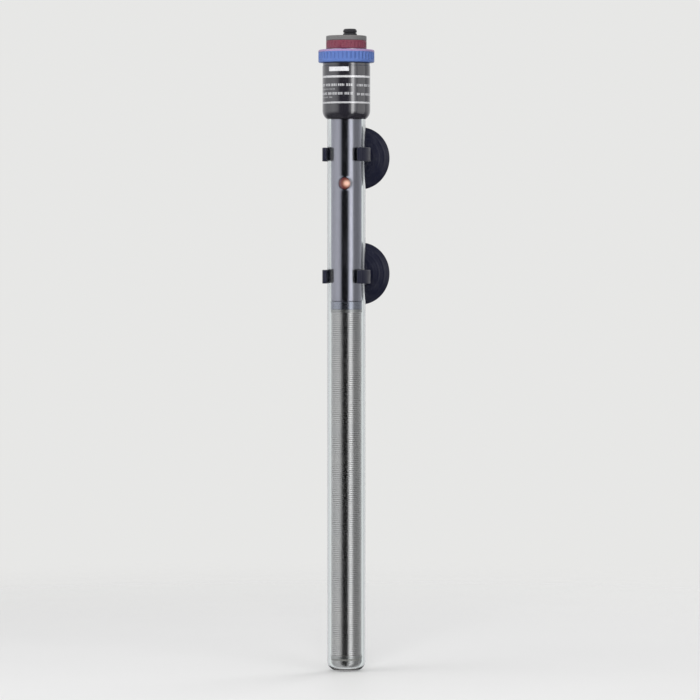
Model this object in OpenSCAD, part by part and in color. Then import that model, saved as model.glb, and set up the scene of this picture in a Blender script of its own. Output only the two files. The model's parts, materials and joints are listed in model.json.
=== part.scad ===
// Submersible aquarium heater: a glass tube with a wound ceramic heater and a thermostat inside,
// a black head with a blue setting ring and a red calibration ring, and two clips with suction cups.
// Frame: origin at the centre of the tube's flat closed end, +Z up the tube, +Y towards the tank wall.

/* [Glass tube] */
// Outside diameter of the glass
glass_d = 24.6; // [24.2:0.1:24.6]
// Wall thickness of the glass
glass_wall = 1.2; // [1:0.1:1.2]
// Corner radius of the closed end
glass_corner = 6.3; // [5:0.1:7.5]
// Height of the open end
glass_top = 371; // [369:0.5:371]

/* [Head] */
// Diameter of the head cap
cap_d = 30.8; // [30.6:0.1:32]
// Height of the head cap's lower lip
cap_bottom = 354.8; // [353:0.1:356]
// Height of the head cap's top face
cap_top = 391; // [390.5:0.1:391.5]
// Rounding of the head cap's shoulder
cap_corner = 6.5; // [5:0.1:7]

/* [Rings] */
// Diameter of the blue setting ring
ring_d = 36; // [35:0.1:38]
// Height of the setting ring
ring_h = 8.2; // [8.1:0.1:8.6]
// Diameter of the red calibration ring and the top cap
turret_d = 26; // [25.6:0.1:27]
// Number of grip flutes round the setting ring
flutes = 40; // [20:1:44]

/* [Heater] */
// Diameter over the winding and over the thermostat sleeve
body_d = 19.8; // [19.6:0.1:20]
// Height of the top of the heated section
heated_top = 232.9; // [231:0.1:232.9]
// Least distance from one turn of the winding to the next, as drawn
turn_pitch = 2.2; // [2.2:0.1:4]

/* [Thermostat] */
// Height of the indicator lamp's centre
lamp_z = 313.5; // [313.5:0.5:316.5]
// Direction of the lamp and its window, turned from the front towards +X
lamp_turn = 14; // [0:1:20]
// Radius of the round window in front of the lamp
window_r = 3.7; // [3.1:0.1:3.8]
// Height of the contact arm's pivot
pivot_z = 268; // [266:1:270]

/* [Clips and suction cups] */
// Height of the upper clip's band
clip_upper_z = 332.2; // [330:0.1:334]
// Height of the lower clip's band
clip_lower_z = 253.7; // [250:0.1:256]
// Height of a clip's band
clip_h = 8.8; // [8:0.1:10]
// Outside diameter of a clip's band
clip_d = 31; // [30:0.1:32]
// Angle from the wall side to each tip of a clip
clip_reach = 124; // [118:1:145]
// How far a cup's centre lies from its clip's band centre
socket_drop = 1.9; // [1.5:0.1:2.2]
// Diameter of a suction cup's rim
cup_d = 40.4; // [38:0.1:42]
// Distance from the tube's axis to the wall that the cups hold
wall_y = 25.7; // [25.5:0.1:27]

/* [Cord] */
// Diameter of the power cord
cord_d = 6.5; // [6.3:0.1:6.5]
// Height of the top of the grommet
grommet_top = 413.1; // [412:0.1:415]
// Diameter of the grommet
grommet_d = 9; // [8.8:0.1:9]

/* [Hidden] */
$fn = 64;

gap = 0.05;
cut = 1;
glass_r = glass_d / 2;
bore_r = glass_r - glass_wall;
cap_r = cap_d / 2;
body_r = body_d / 2;
cord_r = cord_d / 2;
cord_y = 6.5;

// The core and its winding
core_bottom = 8;
core_r = body_r - 0.9;
band_h = 1.8;
lower_band_z = core_bottom + gap;
upper_band_z = heated_top - band_h - 0.3;
winding_bottom = lower_band_z + band_h + gap;
winding_top = upper_band_z - gap;
turns = floor((winding_top - winding_bottom) / turn_pitch);
lead_y = 8;
lead_r = 0.6;
lead_out = core_r + gap + lead_r;
return_turn_z = core_bottom - 2.1;

// The thermostat stands between two discs inside the sleeve
sleeve_bottom = 238;
sleeve_top = 355;
sleeve_wall = 0.45;
frame_bottom = 246;
frame_top = 347;
disc_h = 1.6;
disc_r = body_r - sleeve_wall - 0.15;
plate_front = 3;
plate_back = 4.2;
strip_front = -2.6;
strip_back = -1.8;
arm_front = 0.6;
arm_back = 1.1;
pivot_y = (arm_front + arm_back) / 2;
contact_z = pivot_z + 54;
lamp_at = 5.9 * [sin(lamp_turn), -cos(lamp_turn)];
lamp_pin = 0.9 * [cos(lamp_turn), sin(lamp_turn)];

// The setting ring's internal gear turns the pinion, which is in front of the tube's axis.
// gear_module is the pitch diameter per tooth.
gear_module = 0.8;
ring_teeth = 30;
pinion_teeth = 15;
ring_pitch_r = gear_module * ring_teeth / 2;
pinion_pitch_r = gear_module * pinion_teeth / 2;
spindle_y = pinion_pitch_r - ring_pitch_r;
spindle_r = 1.5;
pinion_bottom = cap_top + 0.9;
pinion_top = cap_top + 6.5;
seal_heights = [379, 383];

// The stack of rings on the hub
hub_r = 10.9;
ring_bottom = cap_top + 0.1;
ring_top = ring_bottom + ring_h;
web_h = 1.4;
red_bottom = ring_top + 0.5;
red_top = red_bottom + 5.4;
lid_bottom = red_top + 0.1;
lid_top = lid_bottom + 3;
plate_h = 3;
screw_places = [[-8, 3], [8, 3]];
core_places = [[-1.3, cord_y], [1.3, cord_y]];
core_wire_r = 0.95;
strand_r = 0.5;
cores_bottom = 341;

// Colours
clear_glass = [0.85, 0.9, 0.92, 0.35];
head_black = [0.09, 0.09, 0.1];
ring_blue = [0.37, 0.48, 0.75];
ring_red = [0.55, 0.29, 0.36];
lid_grey = [0.5, 0.49, 0.49];
rubber_black = [0.1, 0.1, 0.13];
winding_grey = [0.65, 0.64, 0.65];
sleeve_grey = [0.6, 0.6, 0.65];
lamp_orange = [0.95, 0.45, 0.2];

// Points round part of a circle, from angle a0 to a1
function arc(centre, r, a0, a1, steps = 8) =
    [for (i = [0:steps]) let (a = a0 + (a1 - a0) * i / steps) centre + r * [cos(a), sin(a)]];

// A round bar from height z0 to z1 at a place in plan
module bar(r, z0, z1, at = [0, 0]) {
    translate([at[0], at[1], z0]) cylinder(r = r, h = z1 - z0);
}

// A tube from height z0 to z1
module pipe(r_out, r_in, z0, z1, at = [0, 0]) {
    difference() {
        bar(r_out, z0, z1, at);
        bar(r_in, z0 - cut, z1 + cut, at);
    }
}

// A round bar along Y, from y0 to y1, at height z
module bar_y(r, y0, y1, z, x = 0) {
    translate([x, y0, z]) rotate([-90, 0, 0]) cylinder(r = r, h = y1 - y0);
}

// A block between two corners
module block(low, high) {
    translate(low) cube(high - low);
}

// One straight length of wire between two points
module wire_run(a, b, r) {
    run = b - a;
    turn = atan2(run[1], run[0]);
    lean = acos(run[2] / norm(run));
    translate(a) rotate([0, lean, turn]) cylinder(r = r, h = norm(run), $fn = 24);
}

// A bent wire through a list of points, with a slightly fuller knuckle at each bend
module wire(points, r) {
    for (i = [0:len(points) - 2]) wire_run(points[i], points[i + 1], r);
    if (len(points) > 2)
        for (i = [1:len(points) - 2]) translate(points[i]) sphere(r = r * 1.12, $fn = 24);
}

// One tooth pointing along +X: half widths at its root, on the pitch circle and at its tip
module tooth(root_r, pitch_r, tip_r, root_w, pitch_w, tip_w) {
    polygon([[root_r, -root_w], [pitch_r, -pitch_w], [tip_r, -tip_w],
             [tip_r, tip_w], [pitch_r, pitch_w], [root_r, root_w]]);
}

module glass_tube() {
    outer = arc([glass_r - glass_corner, glass_corner], glass_corner, -90, 0);
    inner = arc([glass_r - glass_corner, glass_corner], glass_corner - glass_wall, 0, -90);
    color(clear_glass) rotate_extrude() polygon(concat(
        [[0, 0]], outer, [[glass_r, glass_top], [bore_r, glass_top]], inner, [[0, glass_wall]]));
}

// A rounded plug that centres the core in the closed end, with a channel for the return lead
module end_plug() {
    r = body_r - 0.3;
    corner = 4.6;
    low = glass_wall + gap;
    top = core_bottom - 1.1;
    channel_r = lead_r + 0.15;
    edge = arc([r - corner, low + corner], corner, -90, 0, 12);
    color([0.25, 0.25, 0.3]) difference() {
        rotate_extrude() polygon(concat([[0, top], [0, low]], edge, [[r, top]]));
        for (x = [0, lead_out]) bar(channel_r, return_turn_z - channel_r, top + cut, [x, 0]);
        rotate([0, 0, -90]) bar_y(channel_r, 0, r + cut, return_turn_z);
    }
}

module end_spacer() {
    color([0.8, 0.75, 0.6]) difference() {
        bar(body_r, core_bottom - 1, core_bottom - gap);
        bar(1, core_bottom - 2, core_bottom + cut);
        bar(1, core_bottom - 2, core_bottom + cut, [lead_out, 0]);
    }
}

module heater_core() {
    color([0.9, 0.88, 0.82]) pipe(core_r, 1.4, core_bottom, heated_top);
}

// Each turn is drawn level, as a rounded ridge on a thin layer that binds the turns together
module heating_winding() {
    ridge = (winding_top - winding_bottom) / turns / 2;
    crest = body_r;
    valley = body_r - 0.35;
    base = core_r + gap;
    ridges = [for (i = [0:turns * 2]) [i % 2 == 0 ? valley : crest, winding_bottom + i * ridge]];
    color(winding_grey) rotate_extrude() polygon(concat(
        [[base, winding_bottom]], ridges, [[base, winding_top]]));
}

module winding_bands() {
    color("silver")
        for (z = [lower_band_z, upper_band_z]) pipe(body_r, core_r + gap, z, z + band_h);
}

// Down the middle of the core, then out and up to the lower band
module return_lead() {
    color("silver") wire([[0, 0, pivot_z - 16.2], [0, 0, return_turn_z], [lead_out, 0, return_turn_z],
                          [lead_out, 0, core_bottom]], lead_r);
}

module heater_lead() {
    turn_z = heated_top + lead_r + gap;
    color("silver") wire([[0, body_r - 0.7, turn_z], [0, lead_y, turn_z], [0, lead_y, pivot_z - 12],
                          [3.2, 6.4, pivot_z - 8.5], [3.2, 6.4, pivot_z - 6.1]], lead_r);
}

// A disc between the core and the thermostat, with a skirt down to the upper band
module joint_ring() {
    r = body_r + 0.2;
    disc_bottom = heated_top + 1.4;
    color([0.25, 0.25, 0.3]) difference() {
        union() {
            bar(r, disc_bottom, sleeve_bottom - 0.2);
            pipe(r, body_r - 0.45, heated_top - 0.25, disc_bottom + 0.1);
        }
        bar(1, heated_top, sleeve_bottom);
        bar(1, heated_top, sleeve_bottom, [0, lead_y]);
    }
}

module thermostat_sleeve() {
    color(sleeve_grey) difference() {
        pipe(body_r, body_r - sleeve_wall, sleeve_bottom, sleeve_top);
        rotate([0, 0, lamp_turn]) bar_y(window_r, -body_r - cut, 0, lamp_z);
    }
}

// A disc of the thermostat frame, with holes for the spindle, the leads and the cord's cores
module frame_disc(z) {
    difference() {
        bar(disc_r, z, z + disc_h);
        bar(1, z - cut, z + disc_h + cut);
        bar(1, z - cut, z + disc_h + cut, [0, lead_y]);
        bar(spindle_r + 0.1, z - cut, z + disc_h + cut, [0, spindle_y]);
        for (p = core_places) bar(core_wire_r + 0.1, z - cut, z + disc_h + cut, p);
    }
}

module thermostat_frame() {
    color([0.45, 0.3, 0.2]) difference() {
        union() {
            frame_disc(frame_bottom);
            frame_disc(frame_top - disc_h);
            block([-5, plate_front, frame_bottom + 1], [5, plate_back, frame_top - 1]);
            for (x = [-3.9, 3.1])
                block([x, pivot_y - 1.6, pivot_z - 2], [x + 0.8, plate_front + 0.5, pivot_z + 2]);
        }
        translate([-6, pivot_y, pivot_z]) rotate([0, 90, 0]) cylinder(r = 0.6, h = 12);
        bar_y(0.95, plate_front - cut, plate_back + cut, contact_z);
    }
}

// A bimetal strip on a foot, with a ceramic stud that pushes the contact arm
module bimetal_strip() {
    foot_z = pivot_z - 16;
    color([0.75, 0.68, 0.5]) union() {
        block([-3, strip_front, foot_z], [3, strip_back, pivot_z + 66]);
        block([-3, strip_back - 0.1, foot_z], [3, plate_front - gap, foot_z + 6]);
        bar_y(0.9, strip_back - 0.2, -0.15, pivot_z + 32);
    }
}

module contact_arm() {
    color([0.8, 0.62, 0.35]) union() {
        block([-2.2, arm_front, pivot_z], [2.2, arm_back, pivot_z + 65]);
        block([-2.2, pivot_y - 0.8, pivot_z - 1], [2.2, pivot_y + 0.8, pivot_z + 1]);
        translate([-3.9, pivot_y, pivot_z]) rotate([0, 90, 0]) cylinder(r = 0.55, h = 7.8);
    }
}

module moving_contact() {
    color("silver") bar_y(1.2, arm_back, arm_back + 0.4, contact_z);
}

// A rivet through the frame's plate
module fixed_contact() {
    color("silver") union() {
        bar_y(1.5, arm_back + 0.5, plate_front - gap, contact_z);
        bar_y(0.9, plate_front - 0.5, plate_back + 0.5, contact_z);
        bar_y(1.6, plate_back + gap, plate_back + 1, contact_z);
    }
}

// A small horseshoe magnet that snaps the arm shut
module snap_magnet() {
    low = pivot_z + 60;
    color([0.3, 0.3, 0.32]) difference() {
        block([-3, 1.75, low], [3, plate_front - gap, low + 6]);
        block([-1, 1, low - cut], [1, plate_front + cut, low + 4]);
    }
}

// Climbs the spindle's thread and bears on the bimetal strip; it can't turn
module adjusting_nut() {
    low = pivot_z + 62;
    color("goldenrod") difference() {
        union() {
            block([-2.6, spindle_y - 2.5, low], [2.6, spindle_y + 2.5, low + 6.5]);
            block([-1.5, spindle_y + 2, low], [1.5, strip_front - 0.1, low + 2.5]);
        }
        bar(spindle_r + gap, low - cut, low + 7.5, [0, spindle_y]);
    }
}

module thermal_cutout() {
    color([0.85, 0.85, 0.88]) union() {
        bar(1.9, pivot_z - 6, pivot_z + 8, [3.2, 6.4]);
        bar(1.2, pivot_z + 7, pivot_z + 10, [3.2, 6.4]);
    }
}

module cutout_lead() {
    color([0.2, 0.35, 0.7]) wire([[3.2, 6.4, pivot_z + 10.1], [3.2, 6.4, pivot_z + 30],
                                  [1.3, cord_y, pivot_z + 50], [1.3, cord_y, cores_bottom - 1.1]],
                                 lead_r);
}

module live_lead() {
    color([0.5, 0.3, 0.2]) wire([[-1.3, cord_y, cores_bottom - 1.1], [-1.3, cord_y, contact_z + 2],
                                 [-1.3, 6, contact_z]], lead_r);
}

// A glass bulb with a rounded top and a pinched base
module neon_lamp() {
    r = 2.6;
    low = lamp_z - 5;
    top = arc([0.4, low + 8], r - 0.4, 0, 90);
    color(lamp_orange) translate([lamp_at[0], lamp_at[1], 0]) rotate_extrude() polygon(concat(
        [[0, low], [1.5, low], [1.7, low + 1.2], [r, low + 2.2]], top, [[0, low + 8 + r - 0.4]]));
}

// Fills the window in the sleeve, flush with its outside
module lamp_lens() {
    color(lamp_orange) intersection() {
        bar(body_r - 0.02, lamp_z - 5, lamp_z + 5);
        rotate([0, 0, lamp_turn])
            bar_y(window_r - 0.08, -body_r - cut, -norm(lamp_at) - 2.7, lamp_z);
    }
}

module lamp_resistor() {
    color([0.75, 0.6, 0.4]) union() {
        bar(1.05, lamp_z - 16, lamp_z - 9, [5.2, -2.5]);
        for (z = [lamp_z - 16.4, lamp_z - 10.2]) bar(1.3, z, z + 1.6, [5.2, -2.5]);
    }
}

module lamp_leads() {
    r = 0.35;
    base_z = lamp_z - 5.1;
    left = lamp_at - lamp_pin;
    right = lamp_at + lamp_pin;
    color("silver") {
        wire([[left[0], left[1], base_z], [left[0], left[1], base_z - 10],
              [-4.6, -5, base_z - 13], [-4.6, 2.5, base_z - 19]], r);
        wire([[right[0], right[1], base_z], [right[0], right[1], base_z - 2],
              [5.2, -2.5, base_z - 2.6], [5.2, -2.5, lamp_z - 8.4]], r);
        wire([[5.2, -2.5, lamp_z - 16.5], [5.2, -2.5, lamp_z - 18], [4.6, 2.5, lamp_z - 21]], r);
    }
}

// A rubber plug in the mouth of the tube, with a flange over the rim
module seal_stopper() {
    low = sleeve_top + 0.2;
    top = glass_top + 3.3;
    color([0.2, 0.2, 0.2]) difference() {
        union() {
            bar(bore_r - gap, low, glass_top + 0.5);
            bar(glass_r, glass_top + gap, top);
        }
        bar(spindle_r + 0.1, low - cut, top + cut, [0, spindle_y]);
        for (p = core_places) bar(core_wire_r + gap, low - cut, top + cut, p);
    }
}

module sealing_compound() {
    color([0.25, 0.22, 0.2]) pipe(glass_r + 0.85, glass_r + gap, cap_bottom + 8, cap_bottom + 14);
}

module head_cap() {
    bore = glass_r + gap;
    lip = acos((bore - cap_r + cap_corner) / cap_corner);
    shoulder_z = cap_bottom + cap_corner * sin(lip);
    shoulder = arc([cap_r - cap_corner, shoulder_z], cap_corner, -lip, 0);
    edge = arc([cap_r - 0.8, cap_top - 0.8], 0.8, 0, 90, 4);
    color(head_black) difference() {
        rotate_extrude() polygon(concat([[0, cap_bottom]], shoulder, edge, [[0, cap_top]]));
        bar(bore, cap_bottom - cut, glass_top + 3.4);
        bar(glass_r + 0.9, cap_bottom + 7.9, cap_bottom + 14.1);
        bar(cap_r - 2.2, glass_top + 3.4, cap_top - plate_h);
        bar(2.65, cap_top - 4, cap_top + cut, [0, spindle_y]);
        bar(cord_r + 0.1, cap_top - 4, cap_top + cut, [0, cord_y]);
        for (p = screw_places) bar(1.25, cap_top - 4, cap_top + cut, p);
        for (x = [-4.8, 4.8]) bar(0.95, cap_top - 4, cap_top - 1, [x, cord_y]);
    }
}

module spindle_bush() {
    color("goldenrod") difference() {
        union() {
            bar(2.6, 375, cap_top, [0, spindle_y]);
            bar(3.6, cap_top - plate_h - 1.6, cap_top - plate_h - gap, [0, spindle_y]);
        }
        bar(spindle_r + gap, 374, cap_top + cut, [0, spindle_y]);
    }
}

module spindle_o_rings() {
    color([0.5, 0.15, 0.1])
        for (z = seal_heights)
            translate([0, spindle_y, z]) rotate_extrude() translate([1.25, 0]) circle(r = 0.27, $fn = 24);
}

// The pinion, its shaft with two seal grooves, and a journal on top
module pinion_spindle() {
    height = pinion_top - pinion_bottom;
    root_r = pinion_pitch_r - 0.85;
    color([0.8, 0.8, 0.82]) difference() {
        union() {
            bar(spindle_r, pivot_z + 58, pinion_bottom + 1, [0, spindle_y]);
            bar(1.2, pinion_top - 1, pinion_top + 3, [0, spindle_y]);
            translate([0, spindle_y, pinion_bottom]) linear_extrude(height) union() {
                circle(r = root_r);
                for (i = [0:pinion_teeth - 1]) rotate(-90 + i * 360 / pinion_teeth)
                    tooth(root_r - 0.3, pinion_pitch_r, pinion_pitch_r + 0.6, 0.7, 0.5, 0.3);
            }
        }
        for (z = seal_heights)
            translate([0, spindle_y, z - 0.35]) difference() {
                cylinder(r = spindle_r + cut, h = 0.7);
                translate([0, 0, -cut]) cylinder(r = 0.95, h = 0.7 + 2 * cut);
            }
    }
}

// Carries both rings; the pocket under it houses the pinion
module ring_hub() {
    low = cap_top + gap;
    color(head_black) difference() {
        bar(hub_r, low, red_top);
        bar(pinion_pitch_r + 1.2, low - cut, pinion_top + 0.7, [0, spindle_y]);
        bar(1.25, pinion_top, pinion_top + 3.8, [0, spindle_y]);
        bar(cord_r + 0.1, low - cut, red_top + cut, [0, cord_y]);
        for (p = screw_places) bar(1.25, low - cut, red_top + cut, p);
    }
}

module setting_ring() {
    r = ring_d / 2;
    gear_h = ring_h - web_h;
    tip_r = ring_pitch_r - 0.5;
    root_r = ring_pitch_r + 0.85;
    lower_edge = arc([r - 0.6, ring_bottom + 0.6], 0.6, -90, 0, 4);
    upper_edge = arc([r - 0.9, ring_top - 0.9], 0.9, 0, 90, 4);
    color(ring_blue) difference() {
        rotate_extrude() polygon(concat([[0, ring_bottom]], lower_edge, upper_edge, [[0, ring_top]]));
        bar(hub_r + gap, ring_bottom - cut, ring_top + cut);
        translate([0, 0, ring_bottom - cut]) linear_extrude(gear_h + cut) union() {
            circle(r = tip_r);
            for (i = [0:ring_teeth - 1]) rotate(-90 + i * 360 / ring_teeth)
                tooth(tip_r - 0.4, ring_pitch_r, root_r, 0.95, 0.7, 0.45);
        }
        for (i = [0:flutes - 1])
            rotate((i + 0.5) * 360 / flutes) bar(0.8, ring_bottom + 1.6, ring_top - 1.9, [r + 0.35, 0]);
    }
}

module wave_washer() {
    color("silver") pipe(turret_d / 2 - 0.3, hub_r + 0.2, ring_top + gap, red_bottom - gap);
}

// A grooved ring with a pointer at the front
module calibration_ring() {
    r = turret_d / 2;
    grooves = 30;
    color(ring_red) difference() {
        union() {
            bar(r, red_bottom, red_top);
            block([-0.6, -r - 0.5, red_bottom + 0.2], [0.6, -r + 0.5, red_top - 2.4]);
        }
        bar(hub_r + gap, red_bottom - cut, red_top + cut);
        for (i = [1:grooves - 1])
            rotate(-90 + i * 360 / grooves) bar(0.5, red_bottom + 1, red_top - 1.2, [r + 0.2, 0]);
    }
}

module top_cap() {
    r = turret_d / 2;
    edge = arc([r - 0.7, lid_top - 0.7], 0.7, 0, 90, 4);
    color(lid_grey) difference() {
        rotate_extrude() polygon(concat([[0, lid_bottom], [r, lid_bottom]], edge, [[0, lid_top]]));
        bar(3.9, lid_bottom - cut, lid_top + cut, [0, cord_y]);
        bar(grommet_d / 2 + 0.1, lid_bottom - cut, lid_bottom + 0.7, [0, cord_y]);
        for (p = screw_places) {
            bar(1.25, lid_bottom - cut, lid_top + cut, p);
            bar(2.3, lid_top - 1.4, lid_top + cut, p);
        }
    }
}

// Two pan head screws with a crossed recess, through the lid and the hub into the head cap
module cover_screws() {
    head_top = lid_top - 0.1;
    color("silver")
        for (p = screw_places) difference() {
            union() {
                bar(1.2, cap_top - 2.6, head_top - 0.5, p);
                bar(2.2, lid_top - 1.35, head_top, p);
            }
            for (a = [0, 90]) translate([p[0], p[1], head_top]) rotate(a)
                cube([2.6, 0.6, 1], center = true);
        }
}

module cord_grommet() {
    r = grommet_d / 2;
    groove = 3.85;
    color(rubber_black) translate([0, cord_y, 0]) difference() {
        rotate_extrude() polygon([
            [0, lid_bottom + gap], [r, lid_bottom + gap], [r, lid_bottom + 0.65],
            [groove, lid_bottom + 0.65], [groove, lid_top + gap], [r, lid_top + gap],
            [r, lid_top + 1.7], [r - 0.7, lid_top + 1.9], [r - 0.7, lid_top + 2.4],
            [r, lid_top + 2.6], [r - 0.2, grommet_top - 0.4], [r - 0.8, grommet_top], [0, grommet_top]]);
        bar(cord_r + gap, lid_bottom - cut, grommet_top + cut);
    }
}

module power_cord() {
    color([0.07, 0.07, 0.08]) difference() {
        bar(cord_r, 377, grommet_top - 0.1, [0, cord_y]);
        for (p = core_places) bar(core_wire_r + gap, 376, grommet_top + cut, p);
    }
}

module cord_cores() {
    color([0.3, 0.35, 0.6])
        for (p = core_places) pipe(core_wire_r, strand_r + 0.02, cores_bottom, grommet_top - 0.1, p);
}

module cord_strands() {
    color([0.8, 0.5, 0.3])
        for (p = core_places) bar(strand_r, cores_bottom - 0.4, grommet_top - 0.05, p);
}

// A block under the head cap's top plate that grips the cord
module cord_clamp() {
    color(head_black) difference() {
        block([-6.2, cord_y - 4.2, 380], [6.2, cord_y + 4.2, cap_top - plate_h - gap]);
        bar(cord_r + gap, 379, cap_top, [0, cord_y]);
        for (x = [-4.8, 4.8]) bar(0.95, 379, cap_top, [x, cord_y]);
    }
}

module clamp_screws() {
    color("silver")
        for (x = [-4.8, 4.8]) union() {
            bar(0.9, 379.5, cap_top - 1.3, [x, cord_y]);
            bar(1.3, 378.6, 379.95, [x, cord_y]);
        }
}

// An open band round the glass with lipped tips, and a boss with a socket for a cup's knob.
// drop is how far the socket lies below the middle of the band.
module clip(z, drop) {
    r = clip_d / 2;
    opening = 180 - clip_reach;
    boss_r = 6.4;
    boss_end = sign(drop) * (clip_h / 2 - 0.6);
    round_end = arc([0, -drop], boss_r, 180, drop > 0 ? 360 : 0, 16);
    color(rubber_black) difference() {
        union() {
            difference() {
                bar(r, z - clip_h / 2, z + clip_h / 2);
                translate([0, 0, z - clip_h / 2 - cut]) linear_extrude(clip_h + 2 * cut)
                    polygon([[0, 0], 30 * [-sin(opening), -cos(opening)], [0, -60],
                             30 * [sin(opening), -cos(opening)]]);
            }
            for (side = [-1, 1]) rotate(side * opening)
                bar(1.5, z - clip_h / 2 + 0.3, z + clip_h / 2 - 0.3, [0, -r + 1.2]);
            translate([0, wall_y - 6.4, z]) rotate([90, 0, 0]) linear_extrude(wall_y - 6.4 - 13)
                polygon(concat([[-boss_r, boss_end]], round_end, [[boss_r, boss_end]]));
        }
        bar(glass_r + gap, z - 20, z + 20);
        bar_y(4.35, 14.2, wall_y - 8.65, z - drop);
        bar_y(3.05, 15, wall_y, z - drop);
    }
}

// A shallow bell of rubber about +Y, with a neck and a knob that turn in the clip's socket
module cup(z) {
    r = cup_d / 2;
    rim = 1;
    back = wall_y - 5.8;
    steps = 10;
    dome = [for (i = [0:steps]) let (t = i / steps)
        [5.5 + (r - 5.5) * t, back + 5.1 * pow(t, 1.8)]];
    hollow = [for (i = [0:steps]) let (t = 1 - i / steps)
        [(r - rim) * t, wall_y - 3.6 * (1 - t * t)]];
    color(rubber_black) translate([0, 0, z]) rotate([-90, 0, 0]) rotate_extrude() polygon(concat(
        [[0, 14.35], [3.4, 14.35], [4.25, 15], [4.25, wall_y - 8.75], [3, wall_y - 8.7], [3, back - 0.2]],
        dome, [[r, wall_y]], hollow));
}

module clip_upper() clip(clip_upper_z, socket_drop);

module clip_lower() clip(clip_lower_z, -socket_drop);

module cup_upper() cup(clip_upper_z - socket_drop);

module cup_lower() cup(clip_lower_z + socket_drop);

glass_tube();
end_plug();
end_spacer();
heater_core();
heating_winding();
winding_bands();
return_lead();
heater_lead();
joint_ring();
thermostat_sleeve();
thermostat_frame();
bimetal_strip();
contact_arm();
moving_contact();
fixed_contact();
snap_magnet();
adjusting_nut();
thermal_cutout();
cutout_lead();
live_lead();
neon_lamp();
lamp_lens();
lamp_resistor();
lamp_leads();
seal_stopper();
sealing_compound();
head_cap();
spindle_bush();
spindle_o_rings();
pinion_spindle();
ring_hub();
setting_ring();
wave_washer();
calibration_ring();
top_cap();
cover_screws();
cord_grommet();
power_cord();
cord_cores();
cord_strands();
cord_clamp();
clamp_screws();
clip_upper();
clip_lower();
cup_upper();
cup_lower();
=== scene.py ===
import json
import math

import bmesh
import bpy
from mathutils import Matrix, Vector


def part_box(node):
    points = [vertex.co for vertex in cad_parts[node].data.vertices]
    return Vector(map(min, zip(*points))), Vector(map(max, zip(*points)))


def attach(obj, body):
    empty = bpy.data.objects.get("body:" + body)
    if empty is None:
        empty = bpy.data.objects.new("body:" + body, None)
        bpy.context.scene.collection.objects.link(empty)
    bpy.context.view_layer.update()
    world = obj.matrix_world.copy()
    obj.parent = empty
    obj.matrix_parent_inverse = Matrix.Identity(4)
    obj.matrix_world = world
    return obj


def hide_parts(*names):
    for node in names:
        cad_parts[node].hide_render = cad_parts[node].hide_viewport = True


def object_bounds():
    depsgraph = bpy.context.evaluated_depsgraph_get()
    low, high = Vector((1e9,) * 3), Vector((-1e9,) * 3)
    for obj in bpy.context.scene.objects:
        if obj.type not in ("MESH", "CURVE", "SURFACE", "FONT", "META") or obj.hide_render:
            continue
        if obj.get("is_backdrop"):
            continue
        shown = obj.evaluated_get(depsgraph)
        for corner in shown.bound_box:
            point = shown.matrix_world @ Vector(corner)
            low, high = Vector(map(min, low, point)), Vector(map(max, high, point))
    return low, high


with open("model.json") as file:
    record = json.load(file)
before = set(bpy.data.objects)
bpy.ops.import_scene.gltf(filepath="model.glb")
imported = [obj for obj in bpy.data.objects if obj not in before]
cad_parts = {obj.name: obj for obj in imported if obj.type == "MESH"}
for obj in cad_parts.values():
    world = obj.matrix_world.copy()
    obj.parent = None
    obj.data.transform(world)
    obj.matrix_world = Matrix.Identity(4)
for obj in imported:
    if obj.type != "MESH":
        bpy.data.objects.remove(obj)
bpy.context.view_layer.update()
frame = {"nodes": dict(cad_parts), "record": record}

# Lengths below are in millimetres, as in the CAD model; build() turns them into metres.
MM = 0.001
# Clearance between pieces that fit together
GAP = 0.05
CAMERA_AZIMUTH = 21
CAMERA_ELEVATION = 1.5
BACKDROP = (0.80, 0.80, 0.79)


# -------- places taken from the frame

def low(node):
    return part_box(node)[0] / MM


def high(node):
    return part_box(node)[1] / MM


def radius(node):
    """Half a node's width along X: the radius of a round piece centred on the tube's axis."""
    return (high(node).x - low(node).x) / 2


GLASS_R = radius("glass_tube")
GLASS_TOP = high("glass_tube").z
BORE_R = GLASS_R - 1.2
BODY_R = radius("heating_winding")
CAP_R = radius("head_cap")
CAP_BOTTOM = low("head_cap").z
CAP_TOP = high("head_cap").z
HUB_R = radius("ring_hub")
RING_R = radius("setting_ring")
RING_BOTTOM = low("setting_ring").z
RING_TOP = high("setting_ring").z
# Middle of the circle of numbers
DIAL_R = 15
RED_R = radius("calibration_ring")
RED_BOTTOM = low("calibration_ring").z
RED_TOP = high("calibration_ring").z
LID_BOTTOM = low("top_cap").z
LID_TOP = high("top_cap").z
CORD_R = radius("power_cord")
CORD_Y = (low("power_cord").y + high("power_cord").y) / 2
CORE_R = 0.95
CORE_X = high("cord_cores").x - CORE_R
SPINDLE_Y = (low("spindle_bush").y + high("spindle_bush").y) / 2
LAMP_Z = (low("lamp_lens").z + high("lamp_lens").z) / 2
LAMP_AT = (low("neon_lamp") + high("neon_lamp")) / 2
LAMP_TURN = math.atan2(LAMP_AT.x, -LAMP_AT.y)
# Distance of the lens's flat back from the tube's axis
LENS_BACK = 8.6
LENS_R = (high("lamp_lens").z - low("lamp_lens").z) / 2
BAND_LOW = low("winding_bands").z
BAND_HIGH = high("winding_bands").z
BAND_H = low("heating_winding").z - GAP - BAND_LOW
SCREW_HEAD_R = 2.2
SCREW_X = high("cover_screws").x - SCREW_HEAD_R
SCREW_Y = (low("cover_screws").y + high("cover_screws").y) / 2
WALL_Y = high("cup_upper").y


# -------- mesh helpers

def placed(name, data):
    """A new object in the scene."""
    thing = bpy.data.objects.new(name, data)
    bpy.context.scene.collection.objects.link(thing)
    return thing


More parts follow.
